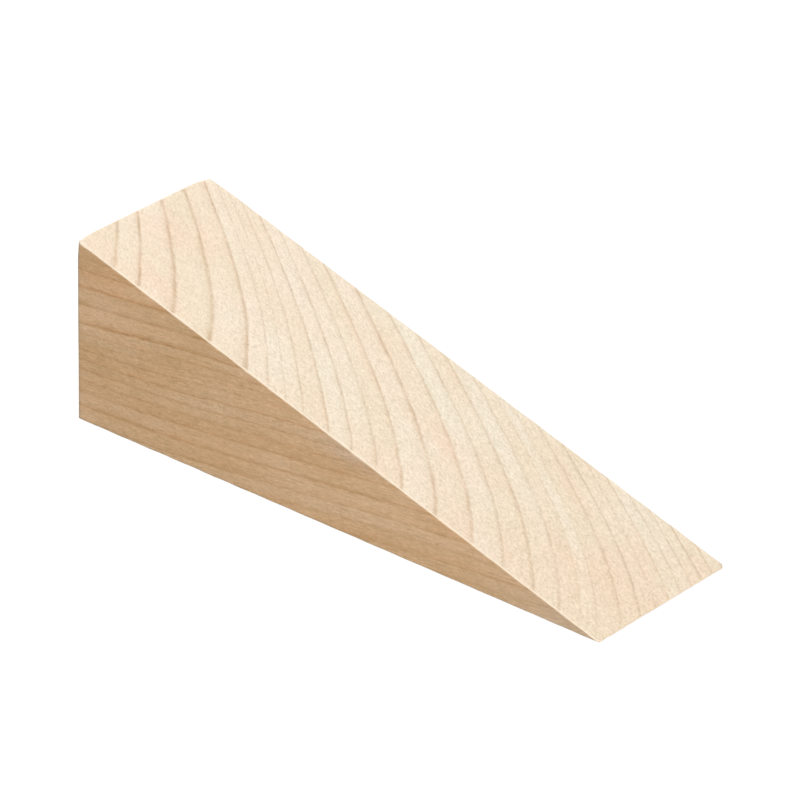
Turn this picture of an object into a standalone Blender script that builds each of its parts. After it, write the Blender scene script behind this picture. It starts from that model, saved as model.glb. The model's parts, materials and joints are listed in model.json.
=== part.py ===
"""Door wedge sawn from one block of pale softwood. Metres, +Z up.

The origin is the middle of the sole. +X runs from the thick heel to the thin toe, so the sole lies
in the plane z = 0 and the ramp falls along +X. The block is symmetric about the plane y = 0.
"""

import math

import bmesh
import bpy

# Driving dimensions, to the corners that the faces would meet in if no edge were eased.
LENGTH = 0.150
WIDTH = 0.044
HEEL_HEIGHT = 0.045
TOE_THICKNESS = 0.0003

# How far from each edge its rounding starts.
HEEL_UPRIGHT_EASE = 0.0012
TOE_UPRIGHT_EASE = 0.0008
HEEL_TOP_EASE = 0.0006
HEEL_FOOT_EASE = 0.0005
ARRIS_EASE = 0.00012
WIDEST_EASE = HEEL_UPRIGHT_EASE
EASE_SEGMENTS = 5

SHARPEST_SMOOTH_ANGLE = math.radians(30)
UPRIGHT_COSINE = 0.999

# Bare planed softwood.
WOOD_COLOUR = (0.79, 0.62, 0.44, 1.0)
WOOD_ROUGHNESS = 0.65


def clear_scene():
    for obj in list(bpy.data.objects):
        bpy.data.objects.remove(obj, do_unlink=True)


def new_collection(name):
    collection = bpy.data.collections.new(name)
    bpy.context.scene.collection.children.link(collection)
    return collection


def wood_material():
    material = bpy.data.materials.new("pale_softwood")
    material.use_nodes = True
    shader = material.node_tree.nodes["Principled BSDF"]
    shader.inputs["Base Color"].default_value = WOOD_COLOUR
    shader.inputs["Roughness"].default_value = WOOD_ROUGHNESS
    shader.inputs["Metallic"].default_value = 0.0
    return material


def ramp_height(x):
    """Height of the ramp above the sole, which falls evenly from the heel to the toe."""
    toward_toe = x / LENGTH + 0.5
    return HEEL_HEIGHT + (TOE_THICKNESS - HEEL_HEIGHT) * toward_toe


def saw_block(cage):
    """A box as long and wide as the block, with its top sawn down to the ramp."""
    bmesh.ops.create_cube(cage, size=1)
    bmesh.ops.scale(cage, vec=(LENGTH, WIDTH, HEEL_HEIGHT), verts=cage.verts)
    for corner in cage.verts:
        corner.co.z = ramp_height(corner.co.x) if corner.co.z > 0 else 0


def edge_ease(edge):
    """How far from this edge its rounding starts."""
    first, second = (vert.co for vert in edge.verts)
    direction = (second - first).normalized()
    at_heel = max(first.x, second.x) < 0
    if abs(direction.z) > UPRIGHT_COSINE:
        return HEEL_UPRIGHT_EASE if at_heel else TOE_UPRIGHT_EASE
    if not at_heel:
        return ARRIS_EASE
    return HEEL_TOP_EASE if first.z > 0 else HEEL_FOOT_EASE


def weigh_edges(cage):
    """Bevel weights that share out the widest rounding."""
    weight = cage.edges.layers.float.new("bevel_weight_edge")
    for edge in cage.edges:
        edge[weight] = edge_ease(edge) / WIDEST_EASE


def wedge_block(collection):
    cage = bmesh.new()
    saw_block(cage)
    weigh_edges(cage)
    mesh = bpy.data.meshes.new("wedge_block")
    cage.to_mesh(mesh)
    cage.free()
    mesh.materials.append(wood_material())

    block = bpy.data.objects.new("wedge_block", mesh)
    collection.objects.link(block)
    bevel = block.modifiers.new("eased_edges", "BEVEL")
    bevel.limit_method = "WEIGHT"
    bevel.width = WIDEST_EASE
    bevel.segments = EASE_SEGMENTS
    mesh.shade_smooth()
    mesh.set_sharp_from_angle(angle=SHARPEST_SMOOTH_ANGLE)
    return block


def main():
    clear_scene()
    wedge_block(new_collection("door_wedge"))


main()
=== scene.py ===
"""A wooden door wedge: its finished surface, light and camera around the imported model.

Metres and +Z up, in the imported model's frame: the origin is the middle of the sole and +X runs from
the thick heel to the thin toe. The mesh is worked out in millimetres and scaled once, at the end.
"""

import json
import math

import bpy
import numpy as np
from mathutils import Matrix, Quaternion, Vector


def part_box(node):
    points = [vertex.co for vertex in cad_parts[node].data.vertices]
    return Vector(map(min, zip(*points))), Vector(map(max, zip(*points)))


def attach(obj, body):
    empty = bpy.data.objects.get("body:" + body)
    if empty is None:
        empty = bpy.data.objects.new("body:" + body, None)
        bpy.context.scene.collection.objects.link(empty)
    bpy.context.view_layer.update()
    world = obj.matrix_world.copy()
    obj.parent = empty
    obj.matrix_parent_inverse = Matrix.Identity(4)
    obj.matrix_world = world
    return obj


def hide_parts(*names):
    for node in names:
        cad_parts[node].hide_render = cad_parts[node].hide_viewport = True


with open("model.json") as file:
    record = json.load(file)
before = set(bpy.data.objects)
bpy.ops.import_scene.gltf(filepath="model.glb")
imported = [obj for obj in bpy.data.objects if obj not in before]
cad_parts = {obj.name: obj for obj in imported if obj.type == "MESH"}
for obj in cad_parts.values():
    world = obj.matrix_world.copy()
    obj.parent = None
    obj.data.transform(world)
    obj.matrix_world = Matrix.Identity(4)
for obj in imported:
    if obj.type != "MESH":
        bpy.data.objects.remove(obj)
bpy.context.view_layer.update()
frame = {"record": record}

MM = 0.001

# ---------------------------------------------------------------------------------------------------
# The block, in millimetres.

# Radius of each eased edge.
HEEL_TOP_RADIUS = 0.45
HEEL_FOOT_RADIUS = 0.5
HEEL_UPRIGHT_RADIUS = 1.2
TOE_UPRIGHT_RADIUS = 0.6
ARRIS_RADIUS = 0.38
TOE_RADIUS = 0.14

# How much rounder the edges are where they meet in a corner that has been knocked: at the heel or
# toe (-1 or 1 along X), on the near or far side (-1 or 1 along Y), and at the ramp or the sole.
KNOCKED_CORNERS = ((-1, -1, "ramp", 0.7), (-1, 1, "ramp", 0.8), (-1, 1, "sole", 0.4),
                   (1, -1, "sole", 0.2), (1, 1, "sole", 1.0))
KNOCK_REACH = 3.0

# Rows of vertices near an edge, and the spacing between the rows elsewhere.
EDGE_ROWS = (0, 0.05, 0.11, 0.18, 0.27, 0.4, 0.6, 0.9, 1.3, 1.8, 2.5)
ROW_SPACING = 0.8
SIDE_ROW_SPACING = 1.3

# The mesh is settled onto the surface in a few steps, with the slope taken over a short probe.
SOLVER_STEPS = 5
SOLVER_PROBE = 0.002

# An edge is fully rubbed where it has turned this far from its faces. Its paleness is partly real
# wear and partly painted highlight: on the arris beside the ramp and on the toe's edge it brightens
# them beyond what their light gives. Away from the ramp it is rubbed only lightly, and the change
# comes within a short depth.
EASED_ANGLE = math.radians(28)
FAINT_WEAR_AND_HIGHLIGHT = 0.15
WEAR_AND_HIGHLIGHT_DEPTH = 0.5

# The surface counts as the sawn, lit ramp, or as end grain, as the cosine between its normal and the
# ramp's, or the fibres, rises between two values.
SAWN_AND_LIT_COSINES = (0.3, 0.7)
END_GRAIN_COSINES = (0.45, 0.9)

# How far the sawn and sanded faces and the toe's edge wander inward, and by what share the arris
# varies in radius.
SURFACE_WANDER = 0.035
TOE_WANDER = 0.08
ARRIS_VARIETY = 0.25

# ---------------------------------------------------------------------------------------------------
# The tree it was sawn from, in millimetres: where its pith ran past the block, as a + b*x + c*x*x.

PITH_Y = (-45.3, -0.12, 0.0014)
PITH_Z = (91.0, 0.026, 0.00033)
PITH_TAPER = 0.051
MIDDLE_RADIUS = 80.0

# Each year's growth outward from the pith: how wide the ring is, and how dark its latewood line.
FIRST_RING = 39.0
RINGS = (
    (3.8, 0.6), (3.8, 0.6), (2.8, 0.9), (4.5, 0.8), (4.9, 0.65), (4.6, 0.85), (2.3, 0.45),
    (1.7, 0.3), (1.8, 0.5), (2.6, 0.65), (2.6, 0.65), (2.9, 0.48), (2.9, 0.58), (3.9, 0.78),
    (4.0, 0.52), (3.2, 0.52), (3.1, 0.58), (2.9, 0.48), (2.2, 0.2), (1.6, 0.3), (2.7, 0.42),
    (2.4, 0.68), (2.0, 0.28), (2.0, 0.46), (2.0, 0.54), (1.8, 0.42), (1.8, 0.75), (2.2, 0.5),
    (2.1, 0.6), (2.4, 0.5), (2.2, 0.6),
)
RING_SMOOTHING = 0.6
RING_STEP = 0.05
LINE_FROM_RING_EDGE = 0.1

# Smooth bumps, each with its middle, its reach and its height: where the rings swell away from the
# pith or sink toward it, where the latewood is bolder or fainter, where the wood is paler or deeper
# than usual (the last of these is a painted shadow at the toe's tip), where it is rosier, and where
# painted light makes the near side paler and cooler.
SWELLINGS = (((-45, -22, 28), (27, 20, 5.3), 1.4), ((-46, -22, 17), (26, 11, 3.7), -0.6),
             ((-58, -22, 43), (26, 4.2, 8), -0.55), ((-72, -22, 0), (18, 10, 6), 0.6),
             ((2, -20, 21), (16, 6, 6), -0.3), ((14, -22, 5), (22, 10, 5), 0.45),
             ((54, -20, 7), (12, 5, 6), -0.2))
BOLDNESS = (((-48, -22, 30), (30, 3, 7), 0.4), ((-72, -22, 40), (10, 3, 4), -0.6),
            ((-70, -22, 22), (20, 3, 5), 0.4))
# The last tone darkens the near side at the toe's tip: a painted contact shadow.
TONES_AND_SHADE = (((-20, -8, 29), (28, 16, 9), 0.14), ((62, -14, 4), (20, 12, 5), -0.16),
         ((-70, -10, 42), (10, 12, 6), -0.1), ((30, -22, 12), (34, 5, 9), 0.1),
         ((-50, -22, 4), (44, 5, 16), -0.08), ((40, -18, 11), (24, 8, 6), -0.26),
         ((-56, -17, 40), (16, 6, 6), -0.22), ((52, 19, 8), (30, 9, 9), 0.15),
         ((-30, 20, 32), (30, 7, 10), 0.1), ((74, -22, 1), (7, 6, 3), -0.3))
BLUSHES = (((-65, -3, 42), (8, 7, 9), 0.7), ((19, -1, 17), (13, 4, 6), 0.6),
           ((63, -8, 4), (14, 13, 6), 0.55), ((-64, -22, 38), (12, 4, 5), 0.6),
           ((40, -18, 12), (22, 7, 6), 0.4), ((-57, -18, 39), (14, 6, 6), 0.3))
# Painted light: the near side made paler and cooler where more neutral light falls on it.
COOL_LIGHT_PATCHES = (((74, -22, 1), (24, 4, 9), 1.0), ((7, -22, 20), (10, 4, 3), 0.6))

SEED = 11


def waves(seed, count, along, across, size):
    """A gentle random field: a function of two lengths that seldom leaves the range -size to size."""
    random = np.random.default_rng(seed)
    pitch = random.uniform(0.6, 1.6, (count, 2))
    phase = random.uniform(0, 2 * math.pi, count)
    turn = random.choice((-1, 1), count)

    def field(first, second):
        total = np.zeros_like(first)
        for (a, b), shift, sign in zip(pitch, phase, turn):
            total += np.sin(2 * math.pi * (first * a / along + sign * second * b / across) + shift)
        return size * total / math.sqrt(2 * count)

    return field


def share(value, start, full):
    """How far a value has come from start to full, from 0 to 1."""
    return np.clip((value - start) / (full - start), 0, 1)


def ring_numbers():
    """Distances from the pith, with the ring number and the latewood's strength at each."""
    widths, strengths = (np.array(column, float) for column in zip(*RINGS))
    edges = FIRST_RING + np.concatenate([[0], np.cumsum(widths)])
    distance = np.arange(edges[0], edges[-1], RING_STEP)
    number = np.interp(distance, edges, np.arange(len(edges)))
    window = int(RING_SMOOTHING / RING_STEP)
    padded = np.pad(number, window, mode="reflect", reflect_type="odd")
    kernel = np.hanning(2 * window + 1)
    number = np.convolve(padded, kernel / kernel.sum(), mode="valid")
    strength = np.interp(distance, edges[1:] - LINE_FROM_RING_EDGE * widths, strengths)
    return distance, number, strength


def bumps(points, table):
    """The sum of a table's smooth bumps at each point."""
    total = np.zeros(len(points))
    for middle, reach, height in table:
        away = (points - np.array(middle)) / np.array(reach)
        total += height * np.exp(-(away ** 2).sum(1))
    return total


class Wood:
    """The growth of the tree through the block, at points in millimetres."""

    def __init__(self):
        self.distance, self.number, self.strength = ring_numbers()
        self.slow = waves(SEED, count=5, along=60, across=40, size=0.05)
        self.quick = waves(SEED + 1, count=7, along=9, across=7, size=0.03)

    def grain(self, points):
        """Distances along, around and out from the pith."""
        x, y, z = points.T
        across = y - (PITH_Y[0] + PITH_Y[1] * x + PITH_Y[2] * x * x)
        up = z - (PITH_Z[0] + PITH_Z[1] * x + PITH_Z[2] * x * x)
        lean_y = PITH_Y[1] + 2 * PITH_Y[2] * x
        lean_z = PITH_Z[1] + 2 * PITH_Z[2] * x
        along = x + across * lean_y + up * lean_z
        around = np.arctan2(across, -up) * MIDDLE_RADIUS
        out = np.hypot(across, up) + PITH_TAPER * x + bumps(points, SWELLINGS)
        out = out + self.slow(along, around) + self.quick(along, around)
        return np.stack([along, around, out], 1)

    def rings(self, grain):
        """Each point's place in the rings, counted in years, and the strength of the latewood there."""
        out = grain[:, 2]
        return (np.interp(out, self.distance, self.number),
                np.interp(out, self.distance, self.strength))

    def end_grain(self, points, normals):
        """How squarely the surface cuts across the fibres."""
        x = points[:, 0]
        fibre = np.stack([np.ones_like(x), PITH_Y[1] + 2 * PITH_Y[2] * x,
                          PITH_Z[1] + 2 * PITH_Z[2] * x], 1)
        fibre /= np.linalg.norm(fibre, axis=1)[:, None]
        return np.abs((fibre * normals).sum(1))


# ---------------------------------------------------------------------------------------------------
# The mesh.


def inward(wave):
    """Squeezes a wave into the range 0 to 1."""
    return 0.5 + 0.5 * np.tanh(wave)


def eased(first, second, cosine, radius):
    """Distance outside the corner of two planes, rounded to a radius."""
    u, v = first + radius, second + radius
    a = (u - cosine * v) / (1 - cosine * cosine)
    b = (v - cosine * u) / (1 - cosine * cosine)
    arc = np.sqrt(np.maximum(a * u + b * v, 1e-12)) - radius
    return np.where((a > 0) & (b > 0), arc, np.maximum(first, second))


class Block:
    """The wedge as a solid: where its faces lie, and how far outside it a point is."""

    def __init__(self, record):
        low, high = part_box("wedge_block")
        self.low = np.array(low) / MM
        self.high = np.array(high) / MM
        ramp = next(mount for mount in record["mounts"] if mount["name"] == "ramp")
        self.ramp_point = np.array(ramp["pos_m"]) / MM
        self.ramp_normal = np.array(ramp["axis"])
        self.wander = waves(SEED + 2, count=7, along=38, across=27, size=1)
        self.arris = waves(SEED + 3, count=7, along=12, across=30, size=1)
        self.toe = waves(SEED + 4, count=8, along=5, across=50, size=1)

    def top(self, x):
        """Height of the ramp's plane."""
        nx, _, nz = self.ramp_normal
        return self.ramp_point[2] - (x - self.ramp_point[0]) * nx / nz

    def knocks(self, points):
        """How much the knocks widen the edges' radii."""
        wider = np.zeros(len(points))
        for end, side, face, extra in KNOCKED_CORNERS:
            x = (self.low, self.high)[end > 0][0]
            y = (self.low, self.high)[side > 0][1]
            corner = np.array([x, y, self.top(x) if face == "ramp" else 0])
            square = ((points - corner) ** 2).sum(1)
            wider += extra * np.exp(-square / KNOCK_REACH ** 2)
        return wider

    def outside(self, points):
        """Distance outside the block, which is negative inside it."""
        x, y, z = points.T
        heel = self.low[0] - x
        toe = x - self.high[0] + TOE_WANDER * inward(self.toe(y, x))
        sole = -z
        ramp = (points - self.ramp_point) @ self.ramp_normal
        side = np.abs(y) - self.high[1]
        nx, _, nz = self.ramp_normal

        knocks = self.knocks(points)
        profile = np.maximum.reduce([
            eased(heel, ramp, -nx, HEEL_TOP_RADIUS + knocks),
            eased(heel, sole, 0, HEEL_FOOT_RADIUS + knocks),
            eased(toe, ramp, nx, TOE_RADIUS),
            eased(toe, sole, 0, TOE_RADIUS),
        ])
        arris = ARRIS_RADIUS * (1 + ARRIS_VARIETY * np.tanh(self.arris(x, y + z)))
        solid = np.maximum.reduce([
            eased(profile, side, 0, arris + np.where(x < 0, knocks, 0)),
            eased(heel, side, 0, HEEL_UPRIGHT_RADIUS + knocks),
            eased(toe, side, 0, TOE_UPRIGHT_RADIUS + knocks),
        ])
        return solid + SURFACE_WANDER * inward(self.wander(x, y + z))

    def slope(self, points):
        """Gradient of outside()."""
        columns = []
        for axis in range(3):
            step = np.zeros(3)
            step[axis] = SOLVER_PROBE
            columns.append(self.outside(points + step) - self.outside(points - step))
        return np.stack(columns, 1) / (2 * SOLVER_PROBE)

    def settle(self, points):
        """Moves points near the surface onto it, and returns its normals there too."""
        for _ in range(SOLVER_STEPS):
            slope = self.slope(points)
            square = np.maximum((slope * slope).sum(1), 1e-6)
            points = points - slope * (self.outside(points) / square)[:, None]
        slope = self.slope(points)
        return points, slope / np.linalg.norm(slope, axis=1)[:, None]

    def wear_and_highlight(self, points, normals):
        """How rubbed the surface is: only on eased edges, most beside the ramp, partly a painted
        highlight.
        """
        faces = np.array([(-1, 0, 0), (0, -1, 0), (0, 1, 0), (0, 0, -1), self.ramp_normal])
        nearest = np.clip((normals @ faces.T).max(1), 0, 1)
        depth = (self.ramp_point - points) @ self.ramp_normal
        rubbed_and_highlit = FAINT_WEAR_AND_HIGHLIGHT + (1 - FAINT_WEAR_AND_HIGHLIGHT) * np.exp(-(depth / WEAR_AND_HIGHLIGHT_DEPTH) ** 2)
        return np.clip(np.arccos(nearest) / EASED_ANGLE, 0, 1) * rubbed_and_highlit


def rows(length, spacing):
    """Places from 0 to length, close together near both ends."""
    near = np.array(EDGE_ROWS)
    inner = length - 2 * near[-1]
    middle = near[-1] + np.linspace(0, inner, round(inner / spacing) + 1)[1:-1]
    return np.concatenate([near, middle, length - near[::-1]])


def shell(counts):
    """The outer points of a block of counts points, as places in it, and the faces between them."""
    number = np.full(counts, -1)
    places = np.indices(counts)
    last = np.reshape(counts, (3, 1, 1, 1)) - 1
    outer = ((places == 0) | (places == last)).any(0)
    number[outer] = np.arange(outer.sum())
    quads = []
    for axis in range(3):
        for end in (0, -1):
            face = np.take(number, end, axis)
            loop = [face[:-1, :-1], face[1:, :-1], face[1:, 1:], face[:-1, 1:]]
            if (axis == 1) == (end == -1):
                loop.reverse()
            quads.append(np.stack(loop, -1).reshape(-1, 4))
    return places[:, outer], np.concatenate(quads)


def store(mesh, name, kind, values):
    """Keeps a value for each vertex, for the material to read."""
    field = {"FLOAT": "value", "FLOAT_VECTOR": "vector"}[kind]
    attribute = mesh.attributes.new(name, kind, "POINT")
    attribute.data.foreach_set(field, np.ascontiguousarray(values, np.float32).ravel())


def wedge_mesh(block, wood):
    """The surface of the wedge, which carries the growth of the wood at each vertex."""
    size = block.high - block.low
    lines_x = rows(size[0], ROW_SPACING) + block.low[0]
    lines_y = rows(size[1], ROW_SPACING) + block.low[1]
    tall = block.top(block.low[0])
    lines_z = rows(tall, SIDE_ROW_SPACING) / tall
    (i, j, k), quads = shell((len(lines_x), len(lines_y), len(lines_z)))
    x = lines_x[i]
    sharp = np.stack([x, lines_y[j], lines_z[k] * block.top(x)], 1)
    points, normals = block.settle(sharp)

    mesh = bpy.data.meshes.new("softwood_wedge")
    mesh.from_pydata((points * MM).tolist(), [], quads.tolist())
    mesh.validate()
    mesh.shade_smooth()

    grain = wood.grain(points)
    ring, strength = wood.rings(grain)
    end_grain = share(wood.end_grain(points, normals), *END_GRAIN_COSINES)
    # Faces turned like the ramp take its colours; the planed sides' deeper colours are partly painted
    # shade.
    sawn_and_lit = share(normals @ block.ramp_normal, *SAWN_AND_LIT_COSINES)
    store(mesh, "grain", "FLOAT_VECTOR", grain)
    store(mesh, "ring", "FLOAT", ring)
    store(mesh, "latewood", "FLOAT", strength * (1 + bumps(points, BOLDNESS)))
    store(mesh, "end_grain", "FLOAT", end_grain)
    store(mesh, "sawn_and_lit", "FLOAT", sawn_and_lit)
    store(mesh, "tone", "FLOAT", bumps(points, TONES_AND_SHADE))
    store(mesh, "blush", "FLOAT", bumps(points, BLUSHES))
    # Painted light: paler, cooler patches on the near side toward the toe.
    store(mesh, "painted_cool_light", "FLOAT", bumps(points, COOL_LIGHT_PATCHES))
    # Paleness of the eased edges: real wear, and a painted highlight beside the ramp and at the toe.
    store(mesh, "wear_and_highlight", "FLOAT", block.wear_and_highlight(points, normals))
    return mesh


# ---------------------------------------------------------------------------------------------------
# The material. Each pair of colours or values is for the planed faces and for the sawn ramp. The
# planed faces' colours are deeper and warmer partly as painted shade, set against the lit ramp. Noise
# is given by how long its features are along the fibres, around the tree and out from the pith.

# Planed against sawn, the deeper, warmer colours are partly real and partly painted shade on the sides.
DEEP_WOOD = ((0.662, 0.452, 0.257), (0.812, 0.689, 0.516))
PALE_WOOD = ((0.755, 0.545, 0.353), (0.829, 0.731, 0.579))
# The rubbed edges' colour, partly a painted highlight on the arris and on the toe's edge.
RUBBED_AND_HIGHLIT_WOOD = (0.90, 0.785, 0.63)

# Tints multiply the wood's colour.
ROSY_TINT = ((1.05, 0.978, 0.935), (1.022, 0.948, 0.940))
# The planed tint here paints cooler, paler light on the near side.
COOL_LIGHT_TINT = ((0.99, 1.13, 1.42), (1.0, 1.0, 1.0))
LATEWOOD_TINT = ((0.755, 0.62, 0.455), (0.71, 0.60, 0.48))
CANAL_TINT = (0.72, 0.58, 0.44)
END_GRAIN_TINT = (0.74, 0.62, 0.50)
RAY_TINT = (0.86, 0.78, 0.68)

# How dark the wood is at each place in a year's growth, from its first wood to its latewood's line.
SOFT_LINE = ((0.0, 0.48), (0.04, 0.22), (0.1, 0.0), (0.5, 0.0), (0.72, 0.1), (0.84, 0.32),
             (0.90, 0.65), (0.94, 0.85), (0.975, 0.75), (1.0, 0.48))
CRISP_LINE = ((0.0, 0.45), (0.03, 0.1), (0.06, 0.0), (0.5, 0.0), (0.74, 0.1), (0.85, 0.28),
              (0.905, 0.75), (0.945, 1.0), (0.98, 0.8), (1.0, 0.45))

RAGGEDNESS = (0.2, 0.09)
YEAR_TONE = (0.14, 0.4)
CANAL_STRENGTH = (1.0, 0.3)

# How strongly each texture changes the wood's brightness.
FIBRE_CONTRAST = (0.68, 0.44)
CRUMB_CONTRAST = (0.42, 0.54)
STREAK_CONTRAST = (0.16, 0.08)
MOTTLE_CONTRAST = (0.15, 0.12)
CHANNEL_CONTRAST = (0.9, 1.0, 1.3)


class Nodes:
    """Short calls that add a node to a material and give back its output."""

    def __init__(self, tree):
        self.tree = tree

    def set(self, socket, value):
        if isinstance(value, bpy.types.NodeSocket):
            self.tree.links.new(value, socket)
        else:
            socket.default_value = value

    def add(self, kind, inputs=(), output=0, **settings):
        node = self.tree.nodes.new(kind)
        for name, value in settings.items():
            setattr(node, name, value)
        for key, value in dict(inputs).items():
            self.set(node.inputs[key], value)
        return node.outputs[output]

    def attribute(self, name, output="Fac"):
        return self.add("ShaderNodeAttribute", output=output, attribute_name=name)

    def math(self, operation, *values, clamp=False):
        return self.add("ShaderNodeMath", enumerate(values), operation=operation, use_clamp=clamp)

    def centred(self, value):
        """A noise's value, moved so that its middle is 0."""
        return self.math("SUBTRACT", value, 0.5)

    def range(self, value, low, high, to_low=0.0, to_high=1.0, smooth=False):
        return self.add("ShaderNodeMapRange", {0: value, 1: low, 2: high, 3: to_low, 4: to_high},
                        interpolation_type="SMOOTHSTEP" if smooth else "LINEAR")

    def noise(self, place, lengths, detail=2.0, roughness=0.5):
        scale = tuple(1 / length for length in lengths)
        stretched = self.add("ShaderNodeVectorMath", {0: place, 1: scale}, operation="MULTIPLY")
        return self.add("ShaderNodeTexNoise", {"Vector": stretched, "Scale": 1.0, "Detail": detail,
                                               "Roughness": roughness})

    def blend(self, amount, first, second, kind="MIX"):
        """Two colours, mixed by an amount from 0 to 1."""
        node = self.tree.nodes.new("ShaderNodeMix")
        node.data_type = "RGBA"
        node.blend_type = kind
        self.set(node.inputs[0], amount)
        for socket, colour in ((node.inputs[6], first), (node.inputs[7], second)):
            self.set(socket, (*colour, 1.0) if isinstance(colour, tuple) else colour)
        return node.outputs[2]

    def tinted(self, amount, colour, tint):
        """A colour, multiplied by a tint as far as the amount says."""
        return self.blend(amount, colour, self.blend(1.0, colour, tint, "MULTIPLY"))

    def curve(self, value, stops):
        """The level at a value, between the stops' levels."""
        node = self.tree.nodes.new("ShaderNodeValToRGB")
        self.tree.links.new(value, node.inputs[0])
        elements = node.color_ramp.elements
        elements.remove(elements[1])
        for index, (place, level) in enumerate(stops):
            element = elements[0] if index == 0 else elements.new(place)
            element.position = place
            element.color = (level, level, level, 1.0)
        return node.outputs[0]


class Softwood:
    """Bare pale softwood: planed faces, a finely sawn ramp and darker end grain."""

    def __init__(self):
        self.material = bpy.data.materials.new("bare_softwood")
        self.material.use_nodes = True
        self.n = n = Nodes(self.material.node_tree)
        self.grain = n.attribute("grain", "Vector")
        self.sawn_and_lit = n.attribute("sawn_and_lit")
        self.fibre = n.noise(self.grain, (3.2, 0.9, 0.28), detail=3.0, roughness=0.65)
        self.mottle = n.noise(self.grain, (3.5, 2.0, 1.6))
        self.find_year()
        self.find_latewood()
        self.find_canals()
        self.connect()

    def either(self, planed_and_shaded, sawn_and_lit):
        """A value that changes from the planed faces to the sawn ramp."""
        return self.n.range(self.sawn_and_lit, 0.0, 1.0, planed_and_shaded, sawn_and_lit)

    def either_colour(self, planed_and_shaded, sawn_and_lit):
        return self.n.blend(self.sawn_and_lit, planed_and_shaded, sawn_and_lit)

    def find_year(self):
        """Each point's year and its place in it, with the fibres' own raggedness along the line."""
        n = self.n
        ragged = n.noise(self.grain, (2.6, 1.4, 1.2), detail=3.0, roughness=0.55)
        place = n.math("MULTIPLY_ADD", n.centred(ragged), self.either(*RAGGEDNESS),
                       n.attribute("ring"))
        self.season = n.math("FRACT", place)
        year = n.math("FLOOR", place)
        self.year_tone = n.add("ShaderNodeTexWhiteNoise", {"W": year}, noise_dimensions="1D")

    def find_latewood(self):
        """Each year's dark line: crisp where the ramp cuts it at a slant, and softer elsewhere."""
        n = self.n
        line = n.blend(self.sawn_and_lit, n.curve(self.season, SOFT_LINE), n.curve(self.season, CRISP_LINE))
        patchy = n.range(n.noise(self.grain, (11.0, 5.0, 4.0)), 0.3, 0.7, 0.55, 1.25)
        strong = n.math("MULTIPLY", line, n.attribute("latewood"))
        self.latewood = n.math("MULTIPLY", strong, patchy)

    def find_canals(self):
        """Resin canals, as sparse short dark dashes along the grain."""
        n = self.n
        dash = n.noise(self.grain, (3.0, 0.45, 0.2), detail=0.0)
        dash = n.range(dash, 0.72, 0.82, 0.0, 0.5, smooth=True)
        self.canal = n.math("MULTIPLY", dash, self.either(*CANAL_STRENGTH))

    def tone(self):
        """Slow patches, whole years and set bumps that are paler or deeper; one bump is a painted
        shadow.
        """
        n = self.n
        patch = n.noise(self.grain, (42.0, 16.0, 9.0))
        tone = n.math("MULTIPLY_ADD", n.centred(self.year_tone), self.either(*YEAR_TONE), patch)
        return n.range(n.math("ADD", tone, n.attribute("tone")), 0.3, 0.7)

    def blush(self):
        """Slow patches and whole years that are rosier."""
        n = self.n
        year = n.math("FRACT", n.math("MULTIPLY", self.year_tone, 7.3))
        blush = n.math("MULTIPLY_ADD", year, 0.22, n.noise(self.grain, (30.0, 11.0, 5.0)))
        return n.math("ADD", n.range(blush, 0.5, 0.74, 0.0, 0.55), n.attribute("blush"), clamp=True)

    def texture(self):
        """Long faint streaks along the fibres of planed wood, and the crumbs of torn, sawn wood."""
        n = self.n
        crumb = n.noise(self.grain, (0.9, 0.5, 0.4), roughness=0.6)
        streak = n.noise(self.grain, (34.0, 7.0, 0.55), roughness=0.55)
        level = n.math("MULTIPLY", n.centred(self.fibre), self.either(*FIBRE_CONTRAST))
        for wave, contrast in ((crumb, CRUMB_CONTRAST), (streak, STREAK_CONTRAST),
                               (self.mottle, MOTTLE_CONTRAST)):
            level = n.math("MULTIPLY_ADD", n.centred(wave), self.either(*contrast), level)
        channels = {channel: n.math("MULTIPLY_ADD", level, contrast, 1.0)
                    for channel, contrast in enumerate(CHANNEL_CONTRAST)}
        return n.add("ShaderNodeCombineColor", channels)

    def colour(self):
        n = self.n
        # The planed sides' deeper, warmer colours are partly painted shade, the ramp being the lit
        # face.
        colour = n.blend(self.tone(), self.either_colour(*DEEP_WOOD), self.either_colour(*PALE_WOOD))
        colour = n.tinted(self.blush(), colour, self.either_colour(*ROSY_TINT))
        # Painted light: paler, cooler patches on the near side.
        colour = n.tinted(n.attribute("painted_cool_light"), colour, self.either_colour(*COOL_LIGHT_TINT))
        line = n.math("MULTIPLY", self.latewood, 0.95, clamp=True)
        colour = n.tinted(line, colour, self.either_colour(*LATEWOOD_TINT))
        colour = n.blend(1.0, colour, self.texture(), "MULTIPLY")
        colour = n.tinted(self.canal, colour, CANAL_TINT)

        # End grain drinks in more light and shows its rays.
        ray = n.range(n.noise(self.grain, (60.0, 0.35, 7.0), detail=1.0), 0.35, 0.65)
        end_tint = n.blend(ray, END_GRAIN_TINT, RAY_TINT)
        colour = n.tinted(n.attribute("end_grain"), colour, end_tint)

        # Sanded and handled edges are paler, and partly painted highlight beside the ramp and at the
        # toe.
        rubbed_and_highlit = n.math("MULTIPLY", n.attribute("wear_and_highlight"), n.range(self.mottle, 0.3, 0.7, 0.75, 1.0))
        return n.blend(rubbed_and_highlit, colour, RUBBED_AND_HIGHLIT_WOOD)

    def roughness(self):
        n = self.n
        rough = n.range(self.fibre, 0.25, 0.75, 0.62, 0.80)
        torn = n.math("SUBTRACT", self.sawn_and_lit, self.latewood)
        return n.math("ADD", rough, n.math("MULTIPLY", torn, 0.06))

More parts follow.
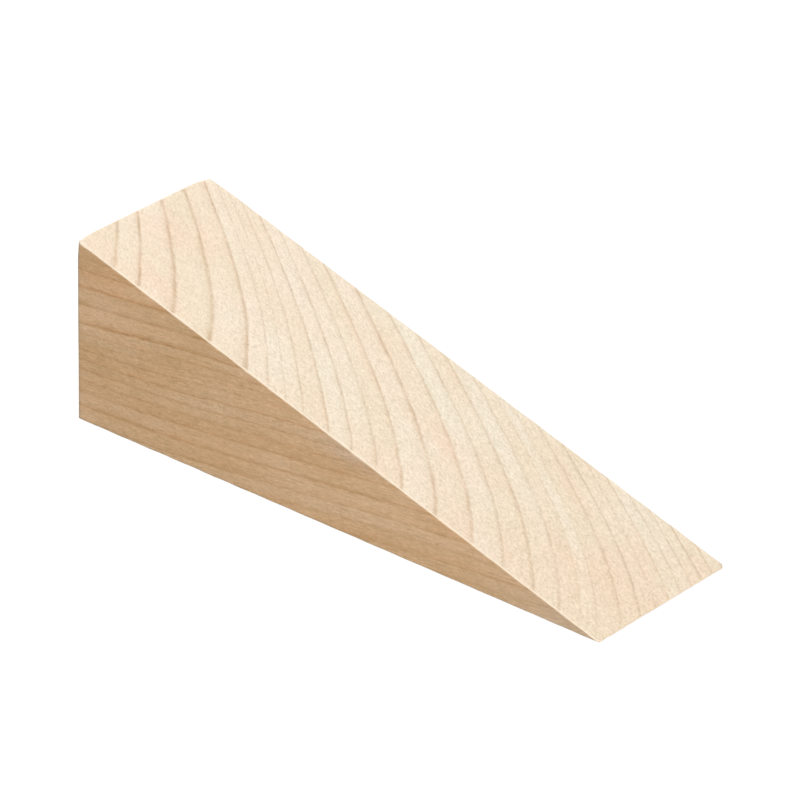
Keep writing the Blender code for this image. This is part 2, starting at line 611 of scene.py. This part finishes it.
    def relief(self):
        """Fibres and latewood stand up a little, and canals are sunk."""
        n = self.n
        height = n.math("ADD", n.math("MULTIPLY", self.fibre, 0.05),
                        n.math("MULTIPLY", self.latewood, 0.02))
        height = n.math("ADD", height, n.math("MULTIPLY", self.mottle, 0.03))
        height = n.math("SUBTRACT", height, n.math("MULTIPLY", self.canal, 0.03))
        return n.add("ShaderNodeBump", {"Strength": 0.6, "Distance": MM, "Height": height})

    def connect(self):
        shader = self.material.node_tree.nodes["Principled BSDF"]
        self.n.set(shader.inputs["Base Color"], self.colour())
        self.n.set(shader.inputs["Roughness"], self.roughness())
        self.n.set(shader.inputs["Normal"], self.relief())


# ---------------------------------------------------------------------------------------------------
# The studio, in metres.

FLOOR_RADIUS = 3.0
FLOOR_CORNERS = 64
FLOOR_DROP = 0.0002
FLOOR_COLOUR = (0.12, 0.12, 0.12, 1.0)
FLOOR_GLOW = 0.93
FAR_GLOW = 1.05
# Between these distances from the middle of the sole, the floor fades to an even white.
FLOOR_FADE = (0.12, 0.35)
WHITE = (1, 1, 1, 1)

# The place, width, power and colour of each square soft box. Each faces the wedge.
SOFT_BOXES = {
    "key": ((-0.30, -0.55, 1.20), 0.9, 17.8, (0.860, 0.916, 1.0)),
    "fill": ((1.05, -0.95, 0.40), 0.8, 13.3, (1.0, 0.849, 0.667)),
    "toe_fill": ((1.30, 0.55, 0.30), 0.8, 5, (1.0, 0.97, 0.93)),
    "floor_bounce": ((1.0, -0.3, -0.6), 0.9, 8, (1.0, 0.95, 0.88)),
    "back_fill": ((-0.8, 1.0, 0.5), 0.9, 16, (1.0, 0.95, 0.9)),
}

CAMERA_AIM = (-0.00535, 0.00778, 0.01772)
CAMERA_AZIMUTH = math.radians(39.493)
CAMERA_ELEVATION = math.radians(27.964)
CAMERA_ROLL = math.radians(1.276)
CAMERA_DISTANCE = 1.3155
LENS = 268.38
SENSOR = 36


def add_object(name, data):
    obj = bpy.data.objects.new(name, data)
    bpy.context.scene.collection.objects.link(obj)
    return obj


def studio_white():
    """A pale floor near the wedge, which fades to the same white as the backdrop."""
    material = bpy.data.materials.new("studio_white")
    material.use_nodes = True
    tree = material.node_tree
    tree.nodes.clear()
    n = Nodes(tree)
    place = n.add("ShaderNodeTexCoord", output="Object")
    away = n.add("ShaderNodeVectorMath", {0: place}, output="Value", operation="LENGTH")
    matte = n.add("ShaderNodeBsdfDiffuse", {"Color": FLOOR_COLOUR})
    glow = n.add("ShaderNodeEmission", {"Color": WHITE, "Strength": FLOOR_GLOW})
    near = n.add("ShaderNodeAddShader", {0: matte, 1: glow})
    far = n.add("ShaderNodeEmission", {"Color": WHITE, "Strength": FAR_GLOW})
    fade = n.range(away, *FLOOR_FADE, smooth=True)
    target = tree.nodes.new("ShaderNodeOutputMaterial")
    n.set(target.inputs["Surface"], n.add("ShaderNodeMixShader", {0: fade, 1: near, 2: far}))
    return material


def floor():
    """A plain round floor, which the wedge is neither lit nor shadowed by."""
    turns = [2 * math.pi * corner / FLOOR_CORNERS for corner in range(FLOOR_CORNERS)]
    rim = [(FLOOR_RADIUS * math.cos(turn), FLOOR_RADIUS * math.sin(turn), -FLOOR_DROP)
           for turn in turns]
    mesh = bpy.data.meshes.new("studio_floor")
    mesh.from_pydata(rim, [], [list(range(FLOOR_CORNERS))])
    mesh.materials.append(studio_white())
    obj = add_object("studio_floor", mesh)
    obj.visible_diffuse = False
    obj.visible_glossy = False
    obj.visible_shadow = False
    return obj


def turn_toward(obj, direction, roll=0.0):
    """Points a light or a camera along a direction."""
    obj.rotation_mode = "QUATERNION"
    obj.rotation_quaternion = direction.to_track_quat("-Z", "Y") @ Quaternion((0, 0, 1), roll)


def soft_box(name, place, width, power, colour):
    lamp = bpy.data.lights.new(name, "AREA")
    lamp.shape = "SQUARE"
    lamp.size = width
    lamp.energy = power
    lamp.color = colour
    obj = add_object(name, lamp)
    obj.location = place
    turn_toward(obj, -Vector(place))


def backdrop():
    """White all round, which the wedge isn't lit by."""
    world = bpy.data.worlds.new("studio")
    bpy.context.scene.world = world
    world.use_nodes = True
    background = world.node_tree.nodes["Background"]
    background.inputs["Color"].default_value = WHITE
    background.inputs["Strength"].default_value = 1.0
    reach = world.cycles_visibility
    reach.diffuse = reach.glossy = reach.transmission = reach.scatter = False


def camera():
    """A long lens from the near side, toward the toe and above."""
    back = Vector((math.sin(CAMERA_AZIMUTH) * math.cos(CAMERA_ELEVATION),
                   -math.cos(CAMERA_AZIMUTH) * math.cos(CAMERA_ELEVATION),
                   math.sin(CAMERA_ELEVATION)))
    data = bpy.data.cameras.new("studio_camera")
    data.lens = LENS
    data.sensor_width = SENSOR
    data.clip_start, data.clip_end = 0.05, 20
    obj = add_object("studio_camera", data)
    obj.location = Vector(CAMERA_AIM) + back * CAMERA_DISTANCE
    turn_toward(obj, -back, CAMERA_ROLL)
    bpy.context.scene.camera = obj


def wedge():
    mesh = wedge_mesh(Block(frame["record"]), Wood())
    mesh.materials.append(Softwood().material)
    piece = add_object("softwood_wedge", mesh)
    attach(piece, "root")
    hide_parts("wedge_block")


camera()
wedge()
floor()
backdrop()
for name, box in SOFT_BOXES.items():
    soft_box(name, *box)
bpy.context.scene.view_settings.view_transform = "Standard"
